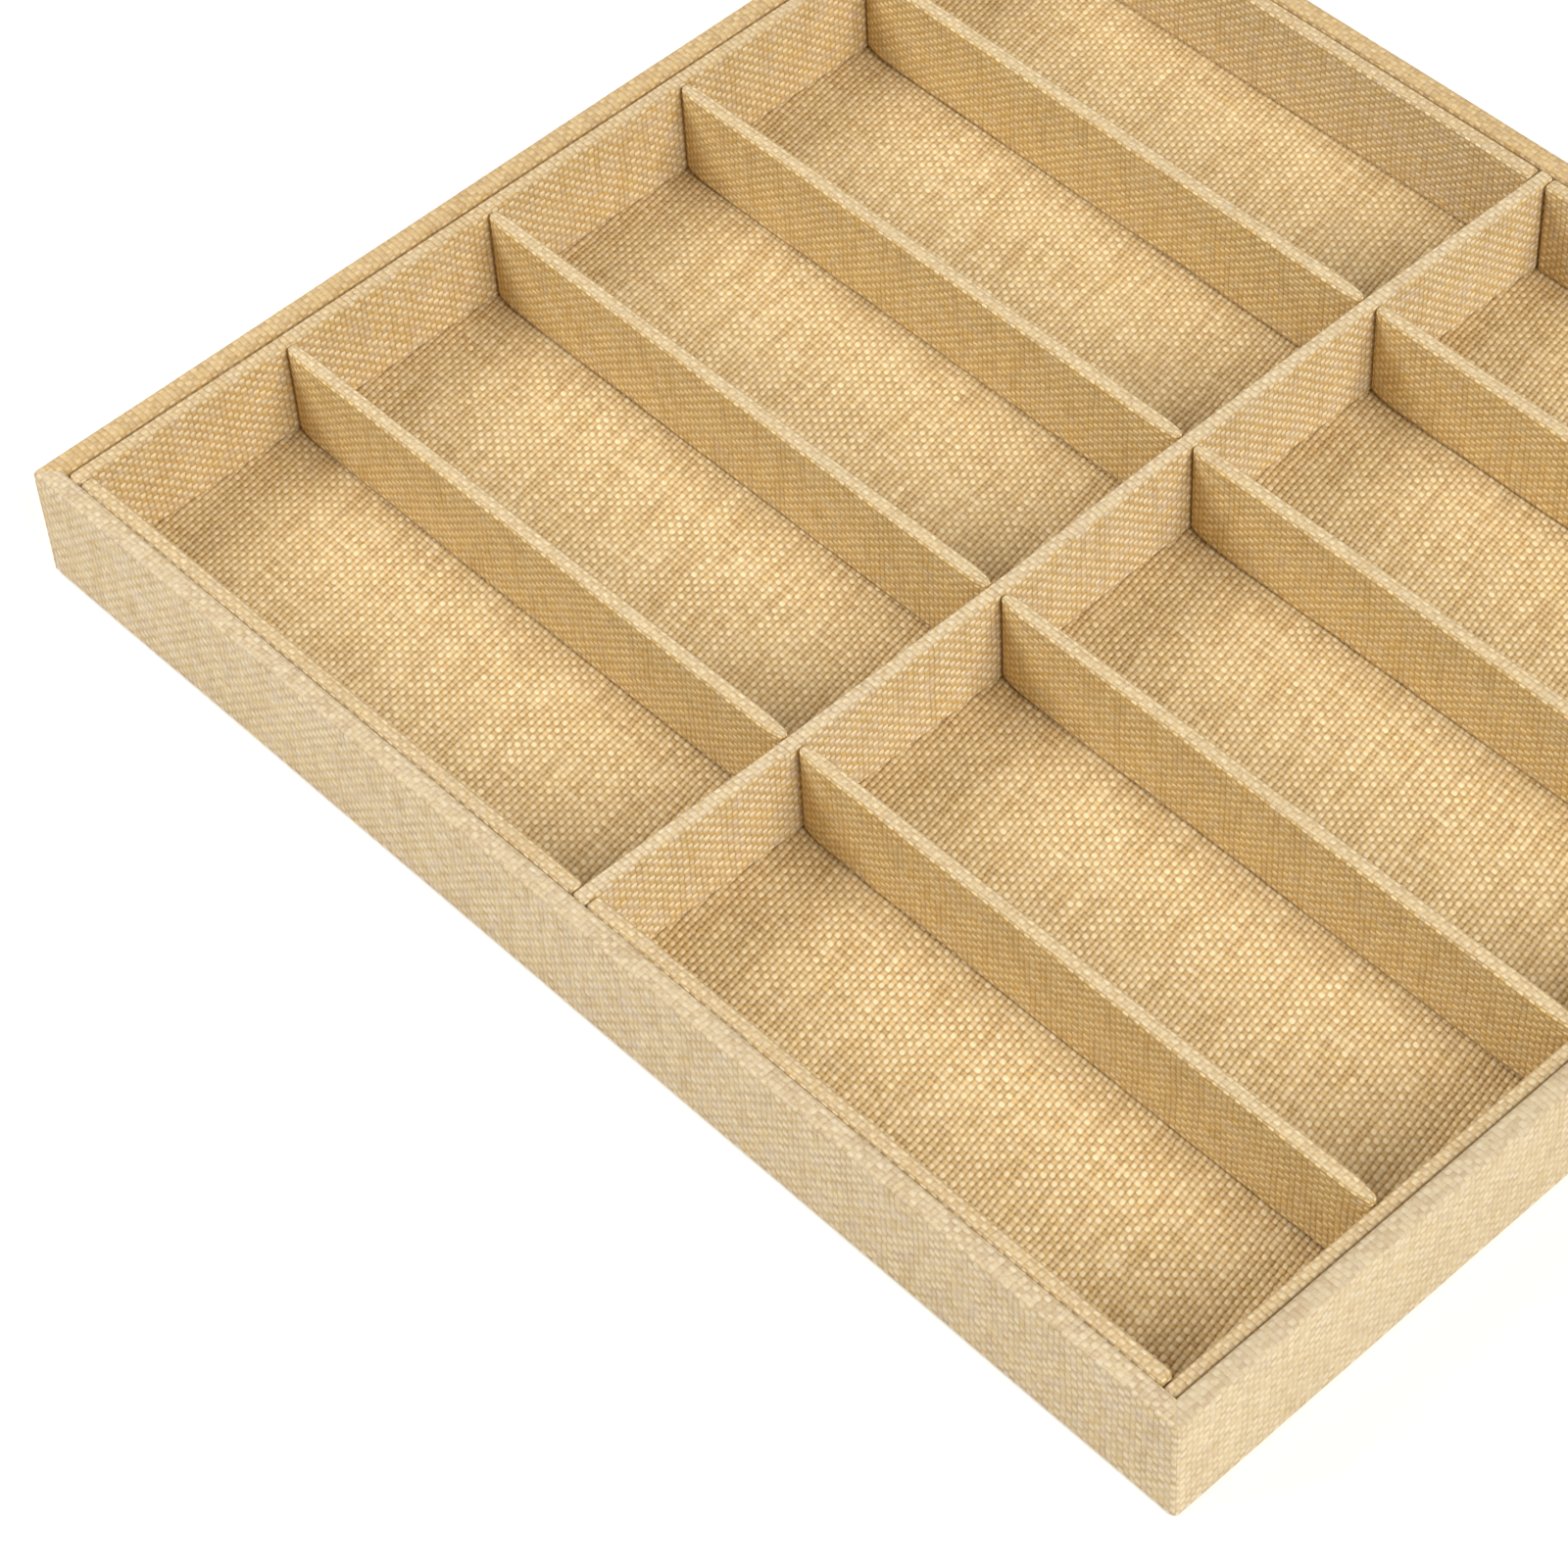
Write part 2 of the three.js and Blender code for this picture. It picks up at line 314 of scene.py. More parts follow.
class Wire:
    """One value in a material's node tree, which can be used in sums and fed to other nodes"""

    def __init__(self, tree, output):
        self.tree = tree
        self.output = output

    def node(self, kind, settings, inputs, output=0):
        made = self.tree.nodes.new(kind)
        for name, value in settings.items():
            setattr(made, name, value)
        for name, value in inputs.items():
            if isinstance(value, Wire):
                self.tree.links.new(value.output, made.inputs[name])
            else:
                made.inputs[name].default_value = value
        return Wire(self.tree, made.outputs[output])

    def maths(self, operation, *values):
        return self.node("ShaderNodeMath", {"operation": operation}, dict(enumerate(values)))

    def __add__(self, other):
        return self.maths("ADD", self, other)

    def __radd__(self, other):
        return self.maths("ADD", other, self)

    def __sub__(self, other):
        return self.maths("SUBTRACT", self, other)

    def __rsub__(self, other):
        return self.maths("SUBTRACT", other, self)

    def __mul__(self, other):
        return self.maths("MULTIPLY", self, other)

    def __truediv__(self, other):
        return self.maths("DIVIDE", self, other)


def new_material(name):
    """A material with a shader, and a Wire to build its nodes from"""
    material = bpy.data.materials.new(name)
    material.use_nodes = True
    tree = material.node_tree
    shader = tree.nodes["Principled BSDF"]
    return material, shader, Wire(tree, None)


def feed(wire, shader, socket):
    """Joins a value to a socket of the shader"""
    wire.tree.links.new(wire.output, shader.inputs[socket])


def mix_colours(tree, factor, first, second):
    """A blend of two colours"""
    inputs = {0: factor, 6: with_alpha(first), 7: with_alpha(second)}
    return tree.node("ShaderNodeMix", {"data_type": "RGBA"}, inputs, output=2)


def with_alpha(colour):
    """A colour as a node wants it"""
    if isinstance(colour, Wire):
        return colour
    return (colour[0], colour[1], colour[2], 1)


def place(tree, x, y, z=0.0):
    """A vector from its parts"""
    return tree.node("ShaderNodeCombineXYZ", {}, {0: x, 1: y, 2: z})


def cloud(tree, vector, scale, detail=2.0, output=0):
    """Soft noise"""
    inputs = {"Vector": vector, "Scale": scale, "Detail": detail}
    return tree.node("ShaderNodeTexNoise", {}, inputs, output)


def spread(tree, value, low, high, new_low=0.0, new_high=1.0):
    """A value moved from one range to another, and kept in it"""
    inputs = {"Value": value, 1: low, 2: high, 3: new_low, 4: new_high}
    return tree.node("ShaderNodeMapRange", {"clamp": True}, inputs)


def object_place(tree):
    """Where a point lies on its object"""
    return tree.node("ShaderNodeTexCoord", {}, {}, output=3)


def bump_normal(tree, height, strength, distance):
    """The bend of the surface under the light, from a height"""
    inputs = {"Height": height, "Strength": strength, "Distance": distance}
    return tree.node("ShaderNodeBump", {}, inputs)


# What a linen's nodes give: the place counted in threads, the place down the flat cloth, how thick
# the threads are, whether the cross thread lies on top, how high the top one stands, its fibres,
# and a speckle from crossing to crossing
Threads = namedtuple("Threads", "u v down warp_girth weft_girth warp_on_top top fibre speckle")


def lay_threads(tree, cloth, kind):
    """Round threads on the weave map, which go over and under each other and drift a little"""
    weave = tree.node("ShaderNodeUVMap", {"uv_map": WEAVE_MAP}, {})
    drift = cloud(tree, weave, DRIFT_SCALE, output=1)
    drift_u = tree.node("ShaderNodeSeparateColor", {}, {0: drift}, output=0)
    drift_v = tree.node("ShaderNodeSeparateColor", {}, {0: drift}, output=1)
    flat_u = tree.node("ShaderNodeSeparateXYZ", {}, {0: weave}, output=0)
    flat_v = tree.node("ShaderNodeSeparateXYZ", {}, {0: weave}, output=1)
    u = flat_u / cloth.warp_spacing + (drift_u - 0.5) * DRIFT
    v = flat_v / cloth.weft_spacing + (drift_v - 0.5) * DRIFT

    warp_number = u.maths("ROUND", u)
    weft_number = v.maths("ROUND", v)
    warp_girth = girth(tree, warp_number, v, 1.3)
    weft_girth = girth(tree, weft_number, u, 6.1)
    warp_wave = cosine_of_turns(warp_number) * cosine_of_turns(v)
    weft_wave = cosine_of_turns(weft_number) * cosine_of_turns(u)
    warp_body = thread_body(u - warp_number, kind.warp_reach, warp_girth)
    weft_body = thread_body(v - weft_number, kind.weft_reach, weft_girth)
    warp_height = warp_body * WARP_HEIGHT + warp_wave * kind.warp_swing
    weft_height = weft_body * WEFT_HEIGHT - weft_wave * kind.weft_swing
    top = warp_height.maths("MAXIMUM", warp_height, weft_height)
    warp_on_top = spread(tree, warp_height - weft_height, -0.06, 0.06)

    warp_fibre = cloud(tree, place(tree, u * 7.0, v * 1.4), 1.0)
    weft_fibre = cloud(tree, place(tree, u * 1.4, v * 7.0, 4.0), 1.0)
    fibre = weft_fibre + (warp_fibre - weft_fibre) * warp_on_top
    knot = place(tree, warp_number, weft_number)
    speckle = tree.node("ShaderNodeTexWhiteNoise", {"noise_dimensions": "2D"}, {"Vector": knot})
    return Threads(u, v, flat_v, warp_girth, weft_girth, warp_on_top, top, fibre, speckle)


def dapple(tree, threads, layer, scale, detail=4.0):
    """Soft noise over the weave, counted in threads, with another pattern for each layer"""
    return cloud(tree, place(tree, threads.u, threads.v, layer), scale, detail)


def dye_threads(tree, cloth, kind, threads, light_and_shade_tone):
    """The colours of the threads: slubs, golden and greyish places, and the piece's own tone, which is
    painted light on some pieces and painted shade on others
    """
    between = blend(cloth.warp_colour, cloth.weft_colour, 0.5)
    warp_dye = blend(between, cloth.warp_colour, kind.contrast)
    weft_dye = blend(between, cloth.weft_colour, kind.contrast)
    warp_colour = slubbed(tree, cloth, warp_dye, threads.warp_girth, kind.depth)
    weft_colour = slubbed(tree, cloth, weft_dye, threads.weft_girth, kind.depth)
    colour = mix_colours(tree, threads.warp_on_top, weft_colour, warp_colour)
    golden = spread(tree, dapple(tree, threads, 11.0, 0.6), 0.5, 0.72)
    greyish = spread(tree, dapple(tree, threads, 23.0, 0.5), 0.5, 0.72)
    colour = mix_colours(tree, golden * kind.clouding, colour, cloth.golden_colour)
    colour = mix_colours(tree, greyish * kind.clouding, colour, cloth.grey_colour)
    return tree.node(
        "ShaderNodeMix",
        {"data_type": "RGBA", "blend_type": "MULTIPLY"},
        {0: 1.0, 6: colour, 7: with_alpha(light_and_shade_tone)},
        output=2,
    )


def paint_foot_shade(tree, cloth, threads, colour, foot):
    """Paints shade unevenly along the cloth's lower edge, which lies that far down the flat cloth,
    where the divider meets the floor
    """
    down = threads.down.maths("ABSOLUTE", threads.down)
    near_foot = spread(tree, down, foot - FOOT_SHADE_START, foot - FOOT_SHADE_FULL)
    uneven = cloud(tree, place(tree, threads.u, 0.0, 53.0), 0.25, 3.0)
    foot_shade = spread(tree, uneven, 0.3, 0.65, 0.3, 0.9)
    return mix_colours(tree, near_foot * foot_shade, colour, cloth.hole_shade_colour)


def linen_material(name, cloth, kind, light_and_shade_tone=(1, 1, 1), fold_colour=None, foot=None):
    """Plain-weave linen, pressed and worn over its top edge and with painted shade at its foot, if it
    has them
    """
    material, shader, tree = new_material(name)
    threads = lay_threads(tree, cloth, kind)
    colour = dye_threads(tree, cloth, kind, threads, light_and_shade_tone)
    # Painted shade along a short divider's foot, where it meets the floor
    if foot:
        colour = paint_foot_shade(tree, cloth, threads, colour, foot)
    # Painted shade: the colour darkens towards the hole colour where the threads lie low, for the shade
    # between them; the patches, fibres and speckle mixed in are the cloth's own grain
    raised = 1.0 - kind.depth + spread(tree, threads.top, 0.0, 0.8) * kind.depth
    if kind.fold_half_width:
        from_fold = threads.down - kind.fold_middle
        from_fold = from_fold.maths("ABSOLUTE", from_fold) - kind.fold_half_width
        pressed = spread(tree, from_fold, 0.0, FOLD_EDGE, FOLD_SHARE, 0.0)
        colour = mix_colours(tree, pressed, colour, fold_colour)
        worn = spread(tree, dapple(tree, threads, 37.0, 1.7), 0.3, 0.6, 1.0 - kind.depth * 0.8, 1.0)
        raised = raised + (worn - raised) * pressed
    patchy = (dapple(tree, threads, 41.0, 0.4, 2.0) - 0.5) * (kind.clouding * 0.35)
    grain = (threads.fibre - 0.5) * kind.grain + (threads.speckle - 0.5) * (kind.grain - 0.3)
    shade = raised * 0.85 + patchy + grain + 0.1
    shade = shade.maths("MINIMUM", shade.maths("MAXIMUM", shade, 0.0), 1.0)
    feed(mix_colours(tree, shade, cloth.hole_shade_colour, colour), shader, "Base Color")

    height = threads.top + (threads.fibre - 0.5) * 0.3
    feed(bump_normal(tree, height, 1.0, cloth.relief), shader, "Normal")
    feed(spread(tree, threads.top, 0.3, 1.0, 0.8, 0.5), shader, "Roughness")
    shader.inputs["Specular IOR Level"].default_value = 0.6
    shader.inputs["Sheen Weight"].default_value = 0.15
    shader.inputs["Sheen Roughness"].default_value = 0.45
    shader.inputs["Sheen Tint"].default_value = (1.0, 0.88, 0.66, 1)
    return material


def blend(first, second, share):
    """A plain colour between two others"""
    return [a + (b - a) * share for a, b in zip(first, second)]


def shade_of(colour, share):
    """A plain colour made darker or paler"""
    return [share * part for part in colour]


def girth(tree, thread_number, along, offset):
    """How thick a thread is, from 0 to 1: stretches of it, different from thread to thread"""
    where = place(tree, thread_number * 7.31, along * 0.09, offset)
    return spread(tree, cloud(tree, where, 1.0), 0.28, 0.72)


def slubbed(tree, cloth, dye, thickness, share):
    """The colour of a thread: bleached where it is thick and dark where it is lean"""
    lean = spread(tree, thickness, 0.1, 0.45, 0.45 * share, 0.0)
    thick = spread(tree, thickness, 0.55, 0.95, 0.0, 0.4 * share)
    darker = mix_colours(tree, lean, dye, cloth.lean_colour)
    return mix_colours(tree, thick, darker, cloth.slub_colour)


def thread_body(side, reach, thickness):
    """The round top of a thread, from its middle out to its edges"""
    share = side / (reach - 0.13 + thickness * 0.24)
    left = 1.0 - share * share
    return left.maths("SQRT", left.maths("MAXIMUM", left, 0.0))


def cosine_of_turns(value):
    """A wave that is 1 at even thread numbers and -1 at odd ones"""
    angle = value * math.pi
    return angle.maths("COSINE", angle)


def card_material(name, colour, fleck):
    """Raw greyboard: pressed pulp with flecks"""
    material, shader, tree = new_material(name)
    where = object_place(tree)
    pulp = cloud(tree, where, 260.0, 6.0)
    specks = spread(tree, cloud(tree, where, 1900.0, 2.0), 0.6, 0.72)
    base = mix_colours(tree, pulp, shade_of(colour, 0.8), shade_of(colour, 1.15))
    feed(mix_colours(tree, specks, base, fleck), shader, "Base Color")
    feed(bump_normal(tree, pulp, 0.6, 0.2 * MILLIMETRE), shader, "Normal")
    feed(spread(tree, pulp, 0.3, 0.7, 0.8, 0.95), shader, "Roughness")
    return material


def board_material(name, colour, fleck):
    """Fibreboard: short flat fibres with darker cut edges between them"""
    material, shader, tree = new_material(name)
    where = object_place(tree)
    flat = tree.node("ShaderNodeMapping", {}, {"Vector": where, "Scale": (1.0, 1.0, 3.0)})
    fibres = tree.node(
        "ShaderNodeTexVoronoi",
        {"feature": "F1"},
        {"Vector": flat, "Scale": 900.0, "Randomness": 1.0},
    )
    pulp = cloud(tree, flat, 120.0, 5.0)
    base = mix_colours(tree, pulp, shade_of(colour, 0.75), shade_of(colour, 1.2))
    feed(mix_colours(tree, spread(tree, fibres, 0.3, 0.9), base, fleck), shader, "Base Color")
    feed(bump_normal(tree, fibres, 0.5, 0.2 * MILLIMETRE), shader, "Normal")
    feed(spread(tree, pulp, 0.3, 0.7, 0.7, 0.9), shader, "Roughness")
    return material


def paper_material(name, colour, fleck):
    """Kraft paper: faint ribs, fibres and scuffs"""
    material, shader, tree = new_material(name)
    where = object_place(tree)
    ribs = tree.node(
        "ShaderNodeTexWave",
        {"bands_direction": "X"},
        {"Vector": where, "Scale": 130.0, "Distortion": 1.5, "Detail": 2.0},
    )
    stretched = tree.node("ShaderNodeMapping", {}, {"Vector": where, "Scale": (1.0, 6.0, 1.0)})
    fibres = cloud(tree, stretched, 420.0, 5.0)
    scuffs = spread(tree, cloud(tree, where, 18.0, 8.0), 0.55, 0.75, 0.0, 0.5)
    base = mix_colours(tree, fibres, shade_of(colour, 0.8), shade_of(colour, 1.2))
    feed(mix_colours(tree, scuffs, base, fleck), shader, "Base Color")
    feed(bump_normal(tree, ribs * 0.4 + fibres, 0.4, 0.15 * MILLIMETRE), shader, "Normal")
    feed(spread(tree, fibres, 0.3, 0.7, 0.7, 0.9), shader, "Roughness")
    return material


def floor_material(name, colour, glow):
    """A smooth pale studio floor with a barely seen grain"""
    material, shader, tree = new_material(name)
    where = object_place(tree)
    grain = cloud(tree, where, 40.0, 3.0)
    feed(mix_colours(tree, grain, shade_of(colour, 0.99), colour), shader, "Base Color")
    feed(spread(tree, grain, 0.3, 0.7, 0.75, 0.85), shader, "Roughness")
    shader.inputs["Emission Color"].default_value = (1, 1, 1, 1)
    shader.inputs["Emission Strength"].default_value = glow
    return material


def shared(name, make, *choices):
    """A material that is made once and used again"""
    found = bpy.data.materials.get(name)
    return found or make(name, *choices)


def floor_linen(context):
    """The linen of the insert's floor"""
    return shared("floor_weave", linen_material, context.scene.tray_cloth, FLOOR_WEAVE)


def upright_linen(context, upright):
    """The linen of the liners and dividers: the short dividers' is warmer, as painted shade, and the
    centre's paler, as painted light
    """
    cloth = context.scene.tray_cloth
    if upright.is_short_divider:
        foot = upright.depth / 2 + upright.height * CLOSE_PULL
        # Painted shade: the short dividers' warmer tone stands for the shade on their faces
        choices = ("divider_weave", SHORT_DIVIDER_PAINTED_SHADE, cloth.fold_colour, foot)
    elif upright.name == "centre_divider":
        # Painted light: the centre divider's paler tone stands for the light on its lit face
        choices = ("centre_weave", CENTRE_PAINTED_LIGHT, cloth.fold_colour, None)
    else:
        # Painted shade: the liners' folds take half of the darker, more golden fold colour
        fold_with_painted_shade = blend(cloth.fold_colour, cloth.shaded_fold_colour, 0.5)
        choices = ("liner_weave", LINER_TONE, fold_with_painted_shade, None)
    name, light_and_shade_tone, fold_colour, foot = choices
    return shared(name, linen_material, cloth, UPRIGHT_WEAVE, light_and_shade_tone, fold_colour, foot)


def wall_linen(context, side):
    """The linen of the outer walls: paler and greyer at the front and right, as painted light, and
    darker and more golden at the left and back, as painted shade
    """
    cloth = context.scene.tray_cloth
    if side == "front":
        # Painted light: the front wall's paler, greyer tone
        choices = ("front_wall_weave", WALL_WEAVE, FRONT_WALL_PAINTED_LIGHT, cloth.fold_colour)
    elif side == "right":
        # Painted light: the right wall's paler, greyer tone, with painted shade darkening the fold on
        # its rim
        darker = shade_of(cloth.fold_colour, RIGHT_FOLD_PAINTED_SHADE)
        choices = ("right_wall_weave", SMOOTH_WALL_WEAVE, RIGHT_WALL_PAINTED_LIGHT, darker)
    else:
        # Painted shade: the darker, more golden tone and fold colour of the left and back walls
        choices = ("wall_weave", WALL_WEAVE, OTHER_WALL_PAINTED_SHADE, cloth.shaded_fold_colour)
    name, kind, light_and_shade_tone, fold_colour = choices
    return shared(name, linen_material, cloth, kind, light_and_shade_tone, fold_colour)


def grey_card():
    """The finish of the stiffening cards"""
    return shared("grey_card_finish", card_material, *GREY_CARD)


def all_of(shape):
    """Everything in a shape, as the cutting operators want it"""
    return shape.verts[:] + shape.edges[:] + shape.faces[:]


def block(size, middle):
    """A plain block to cut a shape from"""
    shape = bmesh.new()
    bmesh.ops.create_cube(shape, size=1)
    bmesh.ops.scale(shape, vec=size, verts=shape.verts)
    bmesh.ops.translate(shape, vec=middle, verts=shape.verts)
    shape.normal_update()
    return shape


def face_towards(shape, direction):
    """The face of a block that looks a given way"""
    return max(shape.faces, key=lambda face: face.normal.dot(direction))


def round_edges(shape, edges, radius, steps):
    """Rounds edges by a radius, also where two roundings meet on a narrow piece"""
    bmesh.ops.bevel(
        shape,
        geom=edges,
        offset=radius,
        offset_type="OFFSET",
        affect="EDGES",
        segments=steps,
        profile=0.5,
        material=-1,
        clamp_overlap=False,
    )
    shape.normal_update()


def is_upright(edge):
    """Whether an edge stands straight up"""
    rise = edge.verts[1].co - edge.verts[0].co
    return abs(rise.z) > 0.99 * rise.length


def is_level_at(edge, height):
    """Whether an edge lies at one height"""
    return all(abs(vert.co.z - height) < LEVEL_MARGIN for vert in edge.verts)


def cut_across(shape, axis, places):
    """Cuts a shape into steps along an axis, so that it can bend"""
    for distance in places:
        bmesh.ops.bisect_plane(shape, geom=all_of(shape), plane_co=axis * distance, plane_no=axis)


def even_places(low, high, step):
    """Evenly spaced places between two ends, about a step apart"""
    count = max(1, round((high - low) / step))
    return [low + (high - low) * i / count for i in range(count + 1)]


def map_weave(shape, lay):
    """Writes the weave map: lay turns a point and its face's normal into a place on the flat cloth"""
    layer = shape.loops.layers.uv.new(WEAVE_MAP)
    for face in shape.faces:
        for loop in face.loops:
            loop[layer].uv = lay(loop.vert.co, face.normal)


def smooth_path(values, share):
    """A value read off a row of evenly spaced values, eased from one to the next"""
    spot = min(max(share, 0.0), 1.0) * (len(values) - 1)
    first = min(int(spot), len(values) - 2)
    rest = spot - first
    eased = rest * rest * (3 - 2 * rest)
    return values[first] + (values[first + 1] - values[first]) * eased


def add_piece(name, shape, material, slot, body, *nodes):
    """Makes an object of a shape, sets it on the body it rides on, and hides the solids it stands for

    A cloth's own borders stay sharp, so that it isn't shaded round there.
    """
    mesh = bpy.data.meshes.new(name)
    shape.normal_update()
    for face in shape.faces:
        face.smooth = True
    for edge in shape.edges:
        edge.smooth = not edge.is_boundary
    shape.to_mesh(mesh)
    shape.free()
    mesh.materials.append(material)
    piece = bpy.data.objects.new(name, mesh)
    bpy.context.scene.collection.objects.link(piece)
    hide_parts(*nodes)
    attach(piece, body)
    return piece


def give_thickness(piece, thickness, group=""):
    """Turns a cloth surface into cloth, inwards from its outside, and thinner where a group says so"""
    sheet = piece.modifiers.new("Cloth", "SOLIDIFY")
    sheet.thickness = thickness
    sheet.offset = -1
    if group:
        piece.vertex_groups.new(name=group)
        sheet.vertex_group = group


def ruffle(shape, height, seed):
    """Pushes the cloth out in soft waves"""
    for vert in shape.verts:
        wave = noise.noise(vert.co * WAVE_SCALE + UP * seed) * 0.5 + 0.5
        vert.co += vert.normal * height * wave


def off_line(across, y):
    """How far a piece across the tray stands off its line, in metres, at a place along it"""
    share = (y - CENTRE_FRONT) / (CENTRE_BACK - CENTRE_FRONT)
    return smooth_path(ACROSS_WANDER[across], share) * MILLIMETRE


class Upright:
    """A liner or divider: its place from the solids, and how it wanders off its line"""

    def __init__(self, name):
        self.name = name
        low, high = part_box(f"{name}_linen")
        self.middle = (low + high) / 2
        self.across_tray = high.y - low.y > high.x - low.x
        self.length = max(high.x - low.x, high.y - low.y)
        self.depth = min(high.x - low.x, high.y - low.y)
        self.bottom = low.z
        self.height = high.z - low.z
        self.is_short_divider = name.startswith("divider_")
        self.pull = OPEN_PULL if self.across_tray else CLOSE_PULL

    def wander(self, share):
        """Sideways, in metres, at a share of the way from the piece's front or left end"""
        if self.across_tray:
            return -smooth_path(ACROSS_WANDER[self.name], share) * MILLIMETRE
        outer, inner = ALONG_WANDER[self.name]
        ends = (outer, inner) if self.middle.x < 0 else (inner, outer)
        return (ends[0] + (ends[1] - ends[0]) * share) * MILLIMETRE

    def stretch(self, share):
        """Lengthways, in metres: a short piece's ends follow the centre divider and the end liner"""
        if self.across_tray:
            return 0.0
        towards_centre = share if self.middle.x < 0 else 1 - share
        end_liner = "liner_left" if self.middle.x < 0 else "liner_right"
        inner = off_line("centre_divider", self.middle.y)
        outer = off_line(end_liner, self.middle.y)
        return inner * towards_centre + outer * (1 - towards_centre)

    def soften_ends(self, shape, settings, inset=0.0):
        """Sinks a liner's top, or draws a divider in at its ends and lifts its foot a little there

        The inset is how far the shape lies inside the cloth's outside.
        """
        sink = SINK.get(self.name, 0.0) * MILLIMETRE
        for vert in shape.verts:
            vert.co.z -= sink * vert.co.z / self.height
        if not self.is_short_divider:
            return
        for vert in shape.verts:
            from_end = self.length / 2 - abs(vert.co.x)
            draw = max(0.0, 1 - from_end / settings.soft_end_length) ** 2
            drawn_in = self.depth / 2 * (1 - settings.soft_end_draw * draw)
            vert.co.y *= (drawn_in - inset) / (self.depth / 2 - inset)
            lift = max(0.0, 1 - from_end / settings.foot_lift_length) ** 2
            spot = Vector((vert.co.x * FOOT_WAVE_SCALE, self.middle.y * FOOT_WAVE_SCALE, 0))
            lift += FOOT_WAVE_SHARE * max(0.0, noise.noise(spot))
            low_part = max(0.0, 1 - max(0.0, vert.co.z - inset) / FOOT_RISE)
            vert.co.z += settings.foot_lift * lift * low_part

    def bend(self, shape):
        """Bends a straight piece along its line and puts it in its place"""
        for vert in shape.verts:
            share = vert.co.x / self.length + 0.5
            vert.co.y += self.wander(share)
            vert.co.x += self.stretch(share)
        if self.across_tray:
            bmesh.ops.rotate(shape, matrix=Matrix.Rotation(math.pi / 2, 3, "Z"), verts=shape.verts)
        spot = Vector((self.middle.x, self.middle.y, self.bottom))
        bmesh.ops.translate(shape, vec=spot, verts=shape.verts)

    def lay(self, point, normal):
        """Where a point of the straight piece lies on the flat cloth, on a stretch of its own"""
        start = self.middle.x + self.middle.y * 3
        down = (self.height - point.z) * self.pull
        if abs(normal.x) > 0.8:
            return start + point.y + self.length, down + self.depth / 2
        return start + point.x, math.copysign(abs(point.y) + down, point.y)


def cloth_on_card(upright, settings):
    """The linen folded over an upright card and round both its ends"""
    reach = settings.end_reach if upright.across_tray else -settings.end_gap
    size = (upright.length + 2 * reach, upright.depth, upright.height)
    shape = block(size, UP * upright.height / 2)
    underside = face_towards(shape, -UP)
    turned_in = settings.foot_radius * 1.4
    bmesh.ops.inset_region(shape, faces=[underside], thickness=turned_in, use_even_offset=True)
    outline = [e for e in shape.edges if is_upright(e)]
    bmesh.ops.delete(shape, geom=[underside], context="FACES")
    end_radius = settings.end_radius if upright.is_short_divider else settings.liner_end_radius
    round_edges(shape, outline, end_radius, 4)
    top = face_towards(shape, UP)
    round_edges(shape, list(top.edges), settings.top_radius, 4)
    feet = [e for e in shape.edges if is_level_at(e, 0) and len(e.link_faces) == 2]
    feet = [e for e in feet if any(abs(f.normal.z) < 0.5 for f in e.link_faces)]
    round_edges(shape, feet, settings.foot_radius, 3)

    cut_lengthways(shape, upright, settings)
    cut_across(shape, ALONG_Y, [0.0])
    clear_of_foot = settings.foot_radius * 1.8
    clear_of_top = upright.height - settings.top_radius * 1.5
    cut_across(shape, UP, even_places(clear_of_foot, clear_of_top, UPRIGHT_RISE))
    shape.normal_update()
    map_weave(shape, upright.lay)
    return shape


def cut_lengthways(shape, upright, settings):
    """Cuts a cloth and its card at the same places, so that they bend alike"""
    clear_of_end = upright.length / 2 - settings.end_radius * 1.5
    cut_across(shape, ALONG_X, even_places(-clear_of_end, clear_of_end, UPRIGHT_STEP))
    for part in SOFT_END_CUTS:
        from_middle = upright.length / 2 - settings.soft_end_length * part
        cut_across(shape, ALONG_X, [-from_middle, from_middle])


def card_in_cloth(upright, settings, lift):
    """The card inside, whose foot stands on the turned-in cloth"""
    low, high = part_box(f"{upright.name}_card")
    size = high - low
    length = max(size.x, size.y)
    if not upright.across_tray:
        length -= 2 * settings.end_gap + settings.end_radius
    depth = min(size.x, size.y)
    height = size.z - lift
    shape = block((length, depth, height), UP * (lift + height / 2))
    top = face_towards(shape, UP)
    round_edges(shape, list(top.edges), CARD_RADIUS, 2)
    cut_lengthways(shape, upright, settings)
    return shape


def add_upright(context, name, seed):
    """A liner or divider: its card and its cloth"""
    settings = context.scene.tray_shape
    thickness = context.scene.tray_cloth.thickness
    upright = Upright(name)
    cloth = cloth_on_card(upright, settings)
    ruffle(cloth, settings.unevenness, seed)
    upright.soften_ends(cloth, settings)
    upright.bend(cloth)
    linen = upright_linen(context, upright)
    piece = add_piece(f"{name}_cloth", cloth, linen, "insert_linen", "insert", f"{name}_linen")
    give_thickness(piece, thickness)
    inset = thickness + CARD_CLEARANCE
    card = card_in_cloth(upright, settings, inset)
    upright.soften_ends(card, settings, inset)
    upright.bend(card)
    add_piece(f"{name}_stiffener", card, grey_card(), "grey_card", "insert", f"{name}_card")


def add_group(context, names, beginning, first_seed):
    """All liners or dividers whose names begin alike, each with waves of its own"""
    group = [name for name in names if name.startswith(beginning)]
    for seed, name in enumerate(group, first_seed):
        add_upright(context, name, seed)


